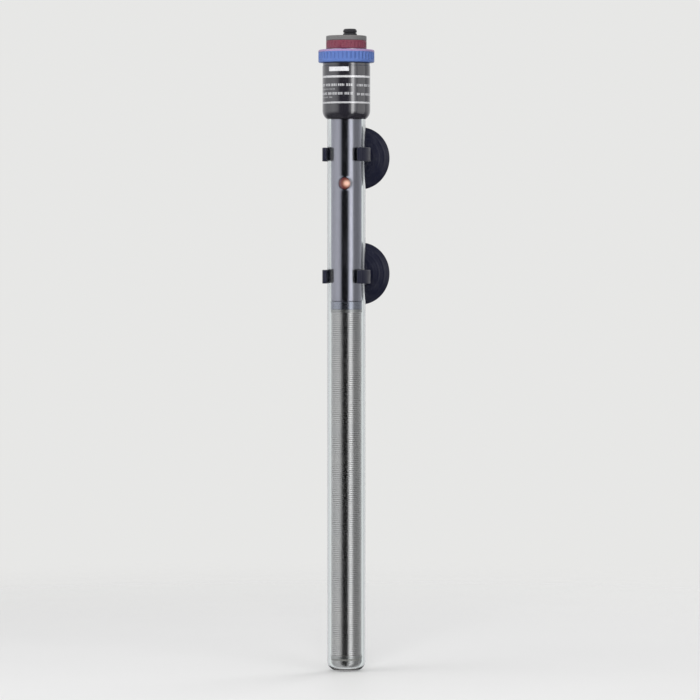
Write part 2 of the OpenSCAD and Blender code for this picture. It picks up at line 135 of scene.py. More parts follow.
def build(name, verts, faces, body=None, crease=40):
    """A mesh object from millimetre points, its faces turned outwards and smooth up to crease degrees."""
    mesh = bpy.data.meshes.new(name)
    mesh.from_pydata([Vector(v) * MM for v in verts], [], faces)
    work = bmesh.new()
    work.from_mesh(mesh)
    bmesh.ops.recalc_face_normals(work, faces=work.faces)
    work.to_mesh(mesh)
    work.free()
    piece = placed(name, mesh)
    set_smooth(piece, crease)
    if body:
        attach(piece, body)
    return piece


def set_smooth(piece, crease):
    """Smooth shading, sharp where two faces meet at more than crease degrees."""
    piece.data.shade_smooth()
    piece.data.set_sharp_from_angle(angle=math.radians(crease))


def loft(rings, closed=False):
    """Points and quads through rings that all have the same count; a ring of one point is a pole."""
    verts = []
    starts = []
    for ring in rings:
        starts.append(len(verts))
        verts.extend(ring)
    faces = []
    pairs = list(zip(range(len(rings) - 1), range(1, len(rings))))
    if closed:
        pairs.append((len(rings) - 1, 0))
    for a, b in pairs:
        count = max(len(rings[a]), len(rings[b]))
        for i in range(count):
            j = (i + 1) % count
            corners = [starts[a] + i % len(rings[a]), starts[a] + j % len(rings[a]),
                       starts[b] + j % len(rings[b]), starts[b] + i % len(rings[b])]
            face = list(dict.fromkeys(corners))
            if len(face) > 2:
                faces.append(face)
    return verts, faces


def circle(r, z, count, centre=(0, 0)):
    """A level ring of points; r may be a function of the angle, which is 0 at +X."""
    if not callable(r) and r < 1e-6:
        return [(centre[0], centre[1], z)]
    ring = []
    for i in range(count):
        angle = 2 * math.pi * i / count
        reach = r(angle) if callable(r) else r
        ring.append((centre[0] + reach * math.cos(angle), centre[1] + reach * math.sin(angle), z))
    return ring


def lathe(profile, count, centre=(0, 0), closed=False):
    """Turns an outline of (radius, height) pairs round a vertical axis."""
    return loft([circle(r, z, count, centre) for r, z in profile], closed)


def turned_shell(outer, inner, count=128):
    """A turned cup. The outer outline runs from lip to axis, the inner one from axis to lip."""
    verts, faces = joined([lathe(outer, count), lathe(inner, count)])
    last = len(verts) - count
    for i in range(count):
        j = (i + 1) % count
        faces.append([i, j, last + j, last + i])
    return verts, faces


def bar(middle, angle, half_long, half_wide, bottom, top):
    """A level bar that points along an angle."""
    along = Vector((math.cos(angle), math.sin(angle), 0)) * half_long
    across = Vector((-math.sin(angle), math.cos(angle), 0)) * half_wide
    corners = [middle + along * i + across * j for i, j in ((-1, -1), (1, -1), (1, 1), (-1, 1))]
    verts, faces = loft([[(*c.xy, z) for c in corners] for z in (bottom, top)])
    faces.extend([[3, 2, 1, 0], [4, 5, 6, 7]])
    return verts, faces


def rounded(points, sizes, steps):
    """The outline with each corner between its ends rounded by that point's radius in sizes."""
    out = []
    for i, size in enumerate(sizes):
        here = Vector(points[i])
        if i in (0, len(points) - 1) or size <= 0:
            out.append(tuple(here))
            continue
        before = Vector(points[i - 1]) - here
        after = Vector(points[i + 1]) - here
        half = before.angle(after) / 2
        reach = min(size / math.tan(half), before.length * 0.49, after.length * 0.49)
        arm = reach * math.tan(half)
        before.normalize()
        after.normalize()
        centre = here + (before + after).normalized() * (arm / math.sin(half))
        start = here + before * reach - centre
        end = here + after * reach - centre
        for k in range(steps + 1):
            out.append(tuple(centre + start.lerp(end, k / steps).normalized() * arm))
    return out


def about_y(verts, centre_z):
    """Turns a shape made round +Z so that its axis is +Y at a height."""
    return [(x, z, centre_z - y) for x, y, z in verts]


def set_modified(piece):
    """Keeps the result of the piece's modifiers as its mesh."""
    graph = bpy.context.evaluated_depsgraph_get()
    mesh = bpy.data.meshes.new_from_object(piece.evaluated_get(graph))
    piece.modifiers.clear()
    piece.data = mesh


def cut(piece, shape):
    """Takes a shape out of a piece."""
    tool = build("tool", *shape)
    cutter = piece.modifiers.new("cut", "BOOLEAN")
    cutter.operation = "DIFFERENCE"
    cutter.solver = "EXACT"
    cutter.object = tool
    set_modified(piece)
    bpy.data.objects.remove(tool)


def drill(piece, holes):
    """Cuts upright round holes, each (radius, x, y, bottom, top), out of a piece."""
    for r, x, y, bottom, top in holes:
        cut(piece, lathe([(0, bottom), (r, bottom), (r, top), (0, top)], 48, (x, y)))
    set_smooth(piece, 40)


def joined(shapes):
    """Several (verts, faces) shapes as one."""
    verts, faces = [], []
    for more_verts, more_faces in shapes:
        start = len(verts)
        verts.extend(more_verts)
        faces.extend([[i + start for i in face] for face in more_faces])
    return verts, faces


def smooth_step(t):
    t = max(0.0, min(1.0, t))
    return t * t * (3 - 2 * t)


# -------- material helpers

class Nodes:
    """A material's or world's node tree under construction."""

    def __init__(self, owner):
        owner.use_nodes = True
        self.tree = owner.node_tree
        self.tree.nodes.clear()

    def node(self, kind, settings=None, **inputs):
        made = self.tree.nodes.new("ShaderNode" + kind)
        for key, value in (settings or {}).items():
            setattr(made, key, value)
        for key, value in inputs.items():
            self.feed(made.inputs[key.replace("_", " ")], value)
        return made

    def feed(self, socket, value):
        if isinstance(value, bpy.types.NodeSocket):
            self.tree.links.new(value, socket)
        elif socket.type == "RGBA" and len(value) == 3:
            socket.default_value = (*value, 1)
        else:
            socket.default_value = value

    def calc(self, operation, a, b=0.0):
        made = self.node("Math", {"operation": operation})
        self.feed(made.inputs[0], a)
        self.feed(made.inputs[1], b)
        return made.outputs[0]

    def mix(self, share, a, b):
        made = self.node("Mix", {"data_type": "RGBA"})
        self.feed(made.inputs[0], share)
        self.feed(made.inputs[6], a)
        self.feed(made.inputs[7], b)
        return made.outputs[2]


class Finish(Nodes):
    """A node material under construction. Patterns are in millimetres of the piece's own space."""

    def __init__(self, name, **inputs):
        self.data = bpy.data.materials.new(name)
        super().__init__(self.data)
        spot = self.node("TexCoord").outputs["Object"]
        self.place = self.node("VectorMath", {"operation": "SCALE"}, Vector=spot, Scale=1 / MM).outputs[0]
        self.x, self.y, self.z = self.node("SeparateXYZ", Vector=self.place).outputs
        self.shader = self.node("BsdfPrincipled", **inputs)
        self.out = self.node("OutputMaterial", Surface=self.shader.outputs[0])

    def set(self, **inputs):
        for key, value in inputs.items():
            self.feed(self.shader.inputs[key.replace("_", " ")], value)

    def length(self, a, b):
        """Length of a vector with the parts a and b."""
        return self.calc("SQRT", self.calc("ADD", self.calc("POWER", a, 2.0), self.calc("POWER", b, 2.0)))

    def fit(self, value, low_in, high_in, low_out=0.0, high_out=1.0):
        """Eases value from one range into another, held at both ends."""
        return self.node("MapRange", {"interpolation_type": "SMOOTHSTEP"}, Value=value,
                         From_Min=low_in, From_Max=high_in, To_Min=low_out, To_Max=high_out).outputs[0]

    def band(self, value, start, end, soft):
        """1 between start and end, 0 outside, with soft edges."""
        rise = self.fit(value, start - soft, start + soft)
        fall = self.fit(value, end - soft, end + soft, 1.0, 0.0)
        return self.calc("MULTIPLY", rise, fall)

    def noise(self, size, detail=3.0, rough=0.5, stretch=(1, 1, 1)):
        """Noise whose features are about size millimetres, drawn out along each axis by stretch."""
        spot = self.node("VectorMath", {"operation": "MULTIPLY"}, Vector=self.place)
        spot.inputs[1].default_value = [1 / (size * s) for s in stretch]
        return self.node("TexNoise", Vector=spot.outputs[0], Scale=1.0, Detail=detail,
                         Roughness=rough).outputs["Fac"]

    def bump(self, height, depth):
        """Bump from a 0 to 1 height that stands depth millimetres high."""
        self.set(Normal=self.node("Bump", Strength=1.0, Distance=depth * MM, Height=height).outputs[0])


def shade(colour, factor):
    return tuple(c * factor for c in colour)


def slot_colour(name):
    for material in frame["record"]["materials"]:
        if material["slot"] == name:
            return tuple(material["base_color"][:3])
    return (0.5, 0.5, 0.5)


def plastic(name, colour, rough=0.3, grain=0.003, size=0.35):
    """Moulded plastic: a fine skin, slow changes of shade and gloss, and a few rubbed patches."""
    made = Finish(name)
    cloud = made.noise(9, 3)
    skin = made.noise(size, 2)
    rub = made.fit(made.noise(4, 5, 0.65), 0.52, 0.75)
    made.set(Base_Color=made.mix(cloud, shade(colour, 0.88), shade(colour, 1.12)),
             Roughness=made.calc("ADD", made.fit(rub, 0, 1, rough, rough + 0.12),
                                 made.calc("MULTIPLY", skin, 0.04)))
    made.bump(skin, grain)
    return made


def rubber(name, colour, rough=0.5, grain=0.012):
    """Soft moulded rubber: a pebbled skin with dusty high spots and a slight sheen."""
    made = Finish(name)
    dust = made.fit(made.noise(6, 4, 0.6), 0.45, 0.8)
    skin = made.noise(0.28, 3)
    made.set(Base_Color=made.mix(dust, colour, [c + 0.012 for c in colour]),
             Roughness=made.fit(made.noise(3, 3), 0.2, 0.8, rough - 0.08, rough + 0.1),
             Sheen_Weight=0.12, Sheen_Roughness=0.4)
    made.bump(skin, grain)
    return made


def metal(name, colour, rough=0.3, stretch=(1, 1, 1), size=0.2):
    """Worked metal: drawing or turning marks along the longest stretch, and a patchy tarnish."""
    made = Finish(name, Metallic=1.0)
    marks = made.noise(size, 3, 0.6, stretch)
    patch = made.fit(made.noise(5, 4), 0.4, 0.75)
    worn = made.mix(patch, colour, shade(colour, 0.78))
    made.set(Base_Color=made.mix(marks, worn, shade(colour, 1.08)),
             Roughness=made.fit(marks, 0.25, 0.75, rough - 0.07, rough + 0.1))
    made.bump(marks, 0.004)
    return made


def mineral(name, colour, rough=0.8, size=0.5, depth=0.03):
    """Ceramic, mica or fibre: matt and grainy with small dark specks."""
    made = Finish(name)
    grain = made.noise(size, 5, 0.65)
    specks = made.fit(made.noise(size * 0.7, 1), 0.72, 0.78)
    stone = made.mix(grain, shade(colour, 0.8), shade(colour, 1.08))
    made.set(Base_Color=made.mix(specks, stone, shade(colour, 0.45)), Roughness=rough)
    made.bump(grain, depth)
    return made


# -------- materials

def clear_glass():
    """Clear glass with faint handling smears. Shadow rays pass, so that lamps light what is inside."""
    made = Finish("clear_glass", IOR=1.473, Transmission_Weight=1.0, Base_Color=(0.95, 0.985, 0.985))
    smears = made.noise(14, 4, 0.55, (1, 1, 3))
    made.set(Roughness=made.fit(smears, 0.5, 0.8, 0.0, 0.035))
    made.bump(made.noise(30, 2, 0.5, (1, 1, 4)), 0.02)
    clear = made.node("BsdfTransparent", Color=(0.94, 0.96, 0.96))
    through = made.node("MixShader", Fac=made.node("LightPath").outputs["Is Shadow Ray"])
    made.feed(through.inputs[1], made.shader.outputs[0])
    made.feed(through.inputs[2], clear.outputs[0])
    made.feed(made.out.inputs["Surface"], through.outputs[0])
    return made


def winding_wire():
    """Resistance wire, warm grey, with heat tint in slow bands and small changes from turn to turn."""
    made = Finish("winding_wire", Metallic=1.0)
    heat = made.fit(made.noise(26, 2, 0.5, (4, 4, 1)), 0.35, 0.7)
    turn = made.noise(0.7, 1, 0.5, (30, 30, 1))
    oxide = made.noise(1.6, 5, 0.65)
    warm = made.mix(heat, (0.87, 0.815, 0.80), (0.78, 0.75, 0.755))
    dull = made.mix(made.fit(oxide, 0.5, 0.8), warm, (0.56, 0.52, 0.51))
    made.set(Base_Color=made.mix(turn, (0.74, 0.70, 0.685), dull),
             Roughness=made.fit(oxide, 0.3, 0.7, 0.15, 0.25))
    made.bump(made.noise(0.25, 2), 0.006)
    return made


def sleeve_metal():
    """Rolled aluminium, bluish, drawn lengthways, with a soft handling haze."""
    made = Finish("sleeve_metal", Metallic=1.0)
    lines = made.noise(0.16, 3, 0.6, (1, 1, 90))
    haze = made.fit(made.noise(11, 4, 0.6, (1, 1, 2)), 0.4, 0.8)
    blue = made.mix(haze, (0.480, 0.456, 0.533), (0.418, 0.401, 0.474))
    made.set(Base_Color=made.mix(lines, blue, (0.543, 0.515, 0.592)),
             Roughness=made.fit(haze, 0, 1, 0.15, 0.22), Anisotropic=0.4)
    made.bump(lines, 0.003)
    return made


def head_plastic():
    """Polished black plastic with a plain printed panel: a bar, two rules and rows of short dashes."""
    made = Finish("head_plastic")
    turn = made.calc("ARCTAN2", made.x, made.calc("MULTIPLY", made.y, -1.0))
    front = made.calc("MULTIPLY", turn, 180 / math.pi)

    def patch(angles, drop, tall):
        """A patch between two angles from the front, tall millimetres high and drop below the cap's top."""
        top = CAP_TOP - drop
        across = made.band(front, angles[0], angles[1], 0.35)
        return made.calc("MULTIPLY", across, made.band(made.z, top - tall, top, 0.06))

    def dashes(angles, drop, tall, pitch, share):
        """A row of dashes of uneven length, pitch degrees apart, that fill a share of the row."""
        wave = made.calc("FRACT", made.calc("DIVIDE", front, pitch))
        slow = made.calc("FRACT", made.calc("DIVIDE", front, pitch * 3.7))
        gate = made.calc("MULTIPLY", made.band(wave, 0.08, share, 0.04), made.band(slow, 0.02, 0.86, 0.02))
        return made.calc("MULTIPLY", patch(angles, drop, tall), gate)

    printed = ((patch((-25, 27), 3.0, 2.8), 1.0),
               (patch((-118, 118), 8.6, 1.3), 0.8),
               (patch((-118, 118), 25.3, 1.1), 0.65),
               (dashes((-66, 39), 13.8, 1.6, 5.2, 0.80), 0.62),
               (dashes((-66, 36), 19.3, 1.6, 4.1, 0.76), 0.62),
               (dashes((47, 112), 14.1, 1.5, 4.6, 0.76), 0.62),
               (dashes((47, 106), 19.8, 1.5, 3.9, 0.76), 0.62),
               (dashes((-66, -8), 16.8, 0.9, 3.3, 0.70), 0.35),
               (dashes((-66, -14), 22.0, 0.9, 3.6, 0.72), 0.35))
    marks = 0.0
    for shape, strength in printed:
        marks = made.calc("MAXIMUM", marks, made.calc("MULTIPLY", shape, strength))
    worn = made.fit(made.noise(0.35, 3, 0.7), 0.3, 0.42)
    ink = made.calc("MULTIPLY", marks, made.calc("MULTIPLY", worn, 0.9))
    cloud = made.noise(8, 3)
    black = made.mix(cloud, (0.014, 0.013, 0.018), (0.024, 0.023, 0.030))
    haze = made.fit(made.noise(5, 5, 0.65), 0.5, 0.8, 0.13, 0.24)
    made.set(Base_Color=made.mix(ink, black, (0.78, 0.78, 0.80)),
             Roughness=made.calc("ADD", haze, made.calc("MULTIPLY", ink, 0.25)),
             Specular_IOR_Level=0.5, Coat_Weight=1.0, Coat_IOR=2.0, Coat_Roughness=0.07)
    skin = made.calc("ADD", made.calc("MULTIPLY", made.noise(0.5, 2), 0.15), ink)
    made.bump(skin, 0.012)
    return made


def ring_plastic():
    """Blue moulded plastic, with a painted lilac highlight along its outer top edge, and darker down in the
    flutes.
    """
    made = plastic("ring_plastic", slot_colour("ring_blue"), 0.36, 0.004)
    reach = made.length(made.x, made.y)
    deep = made.fit(reach, RING_R - 0.75, RING_R - 0.25, 1.0, 0.0)
    side = made.band(made.z, RING_BOTTOM + 1.3, RING_TOP - 1.4, 0.2)
    cloud = made.noise(9, 3)
    blue = made.mix(cloud, (0.080, 0.145, 0.40), (0.105, 0.185, 0.47))
    # Painted highlight: a lilac band round the outer top edge, where light catches the rounded rim
    edge = made.calc("MULTIPLY", made.band(made.z, RING_TOP - 1.4, RING_TOP + 1, 0.3),
                     made.fit(reach, RING_R - 1.6, RING_R - 0.9))
    blue_with_highlight = made.mix(made.calc("MULTIPLY", edge, 0.75), blue, (0.40, 0.24, 0.40))
    # Darker down in the flutes, along the fluted band
    flute_darkening = made.calc("MULTIPLY", made.calc("MULTIPLY", deep, side), 0.55)
    made.set(Base_Color=made.mix(flute_darkening, blue_with_highlight, (0.03, 0.055, 0.19)))
    return made


def lamp_glow():
    """The lens in front of the lamp: dull red, darker at its rim, with a bright cream spot on one side."""
    made = Finish("lamp_glow", Roughness=0.12, Transmission_Weight=0.15)
    rise = made.calc("SUBTRACT", made.z, LAMP_Z)
    shift = made.calc("SUBTRACT", made.x, BODY_R * math.sin(LAMP_TURN) + 1.4)
    far = made.length(rise, shift)
    spot = made.fit(far, 0.7, 2.8, 1.0, 0.0)
    amber = made.fit(far, 1.6, 4.2, 1.0, 0.0)
    glow = made.mix(spot, made.mix(amber, (0.09, 0.012, 0.02), (0.26, 0.10, 0.07)), (0.86, 0.58, 0.45))
    made.set(Base_Color=made.mix(amber, (0.10, 0.015, 0.02), (0.26, 0.09, 0.06)), Emission_Color=glow,
             Emission_Strength=made.calc("ADD", made.calc("MULTIPLY", spot, 0.55), 0.35),
             Coat_Weight=1.0, Coat_Roughness=0.03)
    made.bump(made.node("TexWave", {"wave_type": "RINGS", "rings_direction": "SPHERICAL"},
                        Vector=made.place, Scale=0.8).outputs["Fac"], 0.01)
    return made


def stranded_copper():
    made = metal("stranded_copper", slot_colour("copper"), 0.35, (1, 1, 12), 0.15)
    cells = made.node("TexVoronoi", Vector=made.place, Scale=5.0).outputs["Distance"]
    made.bump(cells, 0.05)
    return made


GLASS = clear_glass()
WIRE = winding_wire()
SLEEVE = sleeve_metal()
HEAD = head_plastic()
BLUE = ring_plastic()
RED = plastic("red_plastic", (0.200, 0.046, 0.072), 0.34, 0.004)
GREY = plastic("grey_plastic", (0.155, 0.15, 0.148), 0.42, 0.006)
HUB = plastic("hub_plastic", (0.03, 0.03, 0.033), 0.4, 0.005)
PRINT = plastic("print_white", (0.74, 0.74, 0.72), 0.45, 0.002)
CLIP = rubber("clip_rubber", (0.010, 0.011, 0.026), 0.42)
CUP = rubber("cup_rubber", (0.008, 0.009, 0.022), 0.36, 0.006)
GROMMET = rubber("grommet_rubber", (0.022, 0.022, 0.026), 0.5)
SHEATH = rubber("cord_sheath", (0.018, 0.018, 0.02), 0.44)
JOINT = metal("joint_glaze", (0.45, 0.45, 0.53), 0.22, (8, 8, 1), 0.3)
PLUG = metal("plug_glaze", (0.62, 0.59, 0.58), 0.3, (8, 8, 1), 0.3)
NICKEL = metal("nickel", (0.58, 0.56, 0.55), 0.32, (10, 10, 1))
STEEL = metal("screw_steel", (0.62, 0.62, 0.64), 0.26, (1, 1, 1), 0.12)
LAMP = lamp_glow()

# What each CAD node that keeps its own shape is made of
NODE_FINISHES = {
    "end_plug": PLUG,
    "ring_hub": HUB,
    "cord_clamp": HUB,
    "clamp_screws": STEEL,
    "end_spacer": mineral("mica", (0.34, 0.32, 0.30), 0.3, 0.9, 0.02),
    "heater_core": mineral("ceramic_core", (0.26, 0.24, 0.22), 0.7),
    "return_lead": metal("tinned_wire", (0.62, 0.62, 0.62), 0.3, (1, 1, 20)),
    "thermostat_frame": plastic("phenolic", slot_colour("phenolic"), 0.5, 0.01, 0.8),
    "bimetal_strip": metal("bimetal", slot_colour("bimetal"), 0.34, (1, 1, 30)),
    "contact_arm": metal("spring_bronze", slot_colour("contact_bronze"), 0.3, (1, 1, 30)),
    "moving_contact": metal("contact_silver", (0.78, 0.77, 0.74), 0.22),
    "snap_magnet": mineral("magnet", slot_colour("magnet"), 0.5, 0.3, 0.02),
    "adjusting_nut": metal("turned_brass", slot_colour("nut_brass"), 0.28, (8, 8, 1)),
    "thermal_cutout": metal("drawn_can", slot_colour("cutout_can"), 0.25, (1, 1, 20)),
    "cutout_lead": plastic("blue_insulation", (0.03, 0.08, 0.35), 0.4),
    "live_lead": plastic("brown_insulation", (0.12, 0.045, 0.02), 0.4),
    "lamp_resistor": mineral("resistor_lacquer", slot_colour("resistor_body"), 0.3, 0.6, 0.01),
    "seal_stopper": rubber("stopper_rubber", (0.03, 0.03, 0.03)),
    "sealing_compound": plastic("cast_resin", (0.03, 0.024, 0.02), 0.2, 0.02, 2.0),
    "spindle_bush": metal("bush_brass", slot_colour("bush_brass"), 0.26, (8, 8, 1)),
    "spindle_o_rings": rubber("seal_silicone", (0.25, 0.03, 0.02), 0.45),
    "pinion_spindle": metal("spindle_steel", slot_colour("spindle_steel"), 0.25, (8, 8, 1)),
    "wave_washer": metal("washer_steel", slot_colour("washer_steel"), 0.25, (6, 6, 1)),
    "cord_strands": stranded_copper(),
    "neon_lamp": plastic("neon_bulb", (0.9, 0.35, 0.12), 0.1, 0.002),
}
SAME_FINISH = {"heater_lead": "return_lead", "lamp_leads": "return_lead", "fixed_contact": "moving_contact"}


def finish_piece(piece, finish, slot=None, *nodes):
    piece.data.materials.clear()
    piece.data.materials.append(finish.data)
    if nodes:
        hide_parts(*nodes)


# -------- pieces

def glass_tube():
    """Blown tube: a thick, slightly uneven closed end and a fire-polished rim."""
    corner = 6.3
    rim = 0.55
    outline = rounded([(0, 0), (GLASS_R, 0), (GLASS_R, GLASS_TOP), (BORE_R, GLASS_TOP),
                       (BORE_R, 1.75), (3.2, 2.0), (0, 2.25)], [0, corner, rim, rim, 5.0, 3.0, 0], 10)
    piece = build("glass_tube_blown", *lathe(outline, 128), "housing", 60)
    finish_piece(piece, GLASS, "tube_glass", "glass_tube")


def winding():
    """One flattened wire wound closely round the core. Its end turns run under the bands."""
    half_w = 0.59
    half_t = 0.28
    pitch = 1.24
    bottom = BAND_LOW + half_w + 0.1
    top = BAND_HIGH - half_w - 0.1
    sides = 12
    steps_per_turn = 44
    steps = int((top - bottom) / pitch * steps_per_turn)
    rings = []
    for i in range(steps + 1):
        angle = 2 * math.pi * i / steps_per_turn
        z = bottom + pitch * i / steps_per_turn
        # Hand-laid turns stand slightly in and out
        coil_r = BODY_R - half_t + 0.02 * math.sin(angle * 0.37) * math.sin(angle * 0.113)
        ring = []
        for k in range(sides):
            lift = 2 * math.pi * k / sides
            out = coil_r + half_t * math.cos(lift)
            ring.append((out * math.cos(angle), out * math.sin(angle), z + half_w * math.sin(lift)))
        rings.append(ring)
    verts, faces = loft(rings)
    last = len(verts) - sides
    faces.append(list(range(sides)))
    faces.append(list(range(last, last + sides)))
    piece = build("wound_wire", verts, faces, "housing", 70)
    finish_piece(piece, WIRE, "winding_wire", "heating_winding")


def winding_bands():
    """Nickel bands clamped over the end turns, each rolled in a little at its edges."""
    shapes = []
    inner = BODY_R + 0.02
    outer = BODY_R + 0.16
    edge = 0.12
    for bottom, top in ((BAND_LOW, BAND_LOW + BAND_H), (BAND_HIGH - BAND_H, BAND_HIGH)):
        corners = [(inner, bottom), (outer, bottom), (outer, top), (inner, top)]
        shapes.append(lathe(rounded(corners, [0, edge, edge, 0], 3), 96, closed=True))
    piece = build("nickel_bands", *joined(shapes), "housing")
    finish_piece(piece, NICKEL, "nickel_band", "winding_bands")


def joint_ring():
    """A glazed disc between the core and the thermostat, with a skirt down to the upper band."""
    skirt = low("joint_ring").z
    bottom = high("heater_core").z + 1.4
    top = high("joint_ring").z
    r = radius("joint_ring")
    inner = BODY_R - 0.45
    outline = rounded([(0, bottom), (inner, bottom), (inner, skirt), (r, skirt), (r, top), (0, top)],
                      [0, 0.2, 0.1, 0.2, 0.3, 0], 4)
    piece = build("joint_collar", *lathe(outline, 96), "housing")
    finish_piece(piece, JOINT, "joint_ceramic", "joint_ring")
    wire_hole_r = 1
    heater_lead_y = 8
    drill(piece, [(wire_hole_r, 0, y, bottom - 1, top + 1) for y in (0, heater_lead_y)])


def thermostat_sleeve():
    """A rolled sheet with a round window, whose edge is pressed up into a lip.

    The sheet is a grid of rows and columns. A square of cells round the window is left out, and rings of
    points lead from that square's edge to the round lip.
    """
    bottom = low("thermostat_sleeve").z
    top = high("thermostat_sleeve").z
    columns = 72
    side = 12
    arc_step = 2 * math.pi * BODY_R / columns
    rows = [bottom, bottom + 0.5]
    rows += [LAMP_Z + arc_step * (k - side / 2) for k in range(side + 1)]
    rows += [top - 0.5, top]
    first = columns // 2 - side // 2

    def wrap(s, z, lift=0.0):
        """A point s millimetres along the sheet from the window's middle line."""
        angle = s / BODY_R - math.pi / 2 + LAMP_TURN
        return ((BODY_R + lift) * math.cos(angle), (BODY_R + lift) * math.sin(angle), z)

    verts = [wrap((c - columns / 2) * arc_step, z, -0.06 if z in (bottom, top) else 0)
             for z in rows for c in range(columns)]
    faces = []
    for row in range(len(rows) - 1):
        for c in range(columns):
            if 2 <= row < 2 + side and first <= c < first + side:
                continue
            here = row * columns
            above = here + columns
            d = (c + 1) % columns
            faces.append([here + c, here + d, above + d, above + c])
    edge = [(2, first + k) for k in range(side)]
    edge += [(2 + k, first + side) for k in range(side)]
    edge += [(2 + side, first + side - k) for k in range(side)]
    edge += [(2 + side - k, first) for k in range(side)]
    previous = [row * columns + c for row, c in edge]
    window = LENS_R + 0.08
    lip = ((1.3, 0), (0.95, 0.05), (0.7, 0.22), (0.35, 0.3), (0.1, 0.24), (0, 0.08), (0, -0.35))
    for beyond, lift in lip:
        reach = window + beyond
        start = len(verts)
        for row, c in edge:
            s = (c - columns / 2) * arc_step
            rise = rows[row] - LAMP_Z
            angle = math.atan2(rise, s)
            verts.append(wrap(reach * math.cos(angle), LAMP_Z + reach * math.sin(angle), lift))
        ring = list(range(start, start + len(edge)))
        for k in range(len(edge)):
            j = (k + 1) % len(edge)
            faces.append([previous[k], previous[j], ring[j], ring[k]])
        previous = ring
    piece = build("rolled_sleeve", verts, faces, "housing", 50)
    wall = piece.modifiers.new("wall", "SOLIDIFY")
    wall.thickness = 0.4 * MM
    wall.offset = -1
    set_modified(piece)
    finish_piece(piece, SLEEVE, "sleeve_metal", "thermostat_sleeve")


def lamp_lens():
    """A domed lens that fills the window, with a flat back."""
    steps = 12
    around = 48
    rings = []
    for step in range(steps + 1):
        reach = LENS_R * (1 - step / steps)
        out = BODY_R - 0.12 + 0.75 * math.sqrt(1 - (1 - step / steps) ** 2)
        ring = []
        for k in range(around if step < steps else 1):
            angle = 2 * math.pi * k / around
            turn = reach * math.cos(angle) / BODY_R - math.pi / 2 + LAMP_TURN
            ring.append((out * math.cos(turn), out * math.sin(turn), LAMP_Z + reach * math.sin(angle)))
        rings.append(ring)
    front = Vector((math.sin(LAMP_TURN), -math.cos(LAMP_TURN), 0))
    back = []
    for point in rings[0]:
        point = Vector(point)
        back.append(tuple(point - front * (point.dot(front) - LENS_BACK)))
    rings = [[(*(front * LENS_BACK).xy, LAMP_Z)], back] + rings
    piece = build("domed_lens", *loft(rings), "housing", 45)
    finish_piece(piece, LAMP, "lens_orange", "lamp_lens")


def head_cap():
    """The black housing: a soft shoulder over the glass, a fine moulding step and a bevelled top rim."""
    bore = GLASS_R + GAP
    bore_top = GLASS_TOP + 3.4
    wall_r = CAP_R - 2.2
    roof = 3
    step = 0.22
    shoulder = 6.5
    steps = 12
    lip = math.asin((bore + 0.15 - CAP_R + shoulder) / shoulder)
    outline = [(bore, CAP_BOTTOM + 0.5), (bore + 0.05, CAP_BOTTOM + 0.1)]
    for i in range(steps + 1):
        lean = lip + (math.pi / 2 - lip) * i / steps
        outline.append((CAP_R - shoulder + shoulder * math.sin(lean),
                        CAP_BOTTOM + shoulder * (math.cos(lip) - math.cos(lean))))
    outline += rounded([(CAP_R, CAP_TOP - 10), (CAP_R, CAP_TOP - 2.2), (CAP_R - step, CAP_TOP - 2.0),
                        (CAP_R - step, CAP_TOP), (4, CAP_TOP), (0, CAP_TOP)], [0, 0.1, 0.1, 0.6, 0, 0], 8)
    inner = [(0, CAP_TOP - roof), (wall_r, CAP_TOP - roof), (wall_r, bore_top), (bore, bore_top)]
    piece = build("head_housing", *turned_shell(outline, inner), "housing")
    spindle_hole = (2.65, 0, SPINDLE_Y)
    cord_hole = (CORD_R + 0.1, 0, CORD_Y)
    cover_screw_holes = [(1.25, side * SCREW_X, SCREW_Y) for side in (-1, 1)]
    clamp_screw_holes = [(0.95, side * 4.8, CORD_Y) for side in (-1, 1)]
    holes = [spindle_hole, cord_hole] + cover_screw_holes + clamp_screw_holes
    drill(piece, [(r, x, y, CAP_TOP - roof - 1, CAP_TOP + 1) for r, x, y in holes])
    finish_piece(piece, HEAD, "head_plastic", "head_cap")


def setting_ring():
    """The blue ring: rounded flutes between two plain collars, and an internal gear underneath."""
    flutes = 40
    count = flutes * 12
    teeth = 30
    pitch_r = 12
    root_r = pitch_r + 0.85
    tooth_h = 1.35
    gear_top = RING_TOP - 1.4
    hub = HUB_R + GAP

    def fluted(depth):
        """The fluted wall's reach by angle."""
        return lambda a: RING_R - depth * (0.5 - 0.5 * math.cos(flutes * a)) ** 1.6

    def gear(a):
        """Reach of the internal gear's wall: a space is centred at the front, with teeth between spaces."""
        turn = ((a + math.pi / 2) * teeth / (2 * math.pi) + 0.5) % 1 - 0.5
        along = abs(turn) * 2 * math.pi * pitch_r / teeth
        return root_r - tooth_h * smooth_step((along - 0.42) / 0.5)

    stations = [(gear, RING_BOTTOM), (RING_R - 0.75, RING_BOTTOM), (RING_R - 0.3, RING_BOTTOM + 0.12),
                (RING_R - 0.06, RING_BOTTOM + 0.42), (RING_R, RING_BOTTOM + 0.8),
                (RING_R, RING_BOTTOM + 1.3)]
    for rise, depth in ((1.6, 0.12), (1.95, 0.42), (2.4, 0.55), (3.5, 0.58), (4.8, 0.58), (5.6, 0.55),
                        (6.05, 0.42), (6.4, 0.12)):
        stations.append((fluted(depth), RING_BOTTOM + rise))
    stations += [(RING_R, RING_TOP - 1.5), (RING_R, RING_TOP - 0.95), (RING_R - 0.12, RING_TOP - 0.5),
                 (RING_R - 0.42, RING_TOP - 0.16), (RING_R - 0.85, RING_TOP), (DIAL_R - 1, RING_TOP),
                 (hub + 0.3, RING_TOP), (hub, RING_TOP - 0.3), (hub, gear_top), (gear, gear_top)]
    rings = [circle(r, z, count) for r, z in stations]
    piece = build("fluted_setting_ring", *loft(rings, closed=True), "setting_ring", 32)
    finish_piece(piece, BLUE, "ring_blue", "setting_ring")


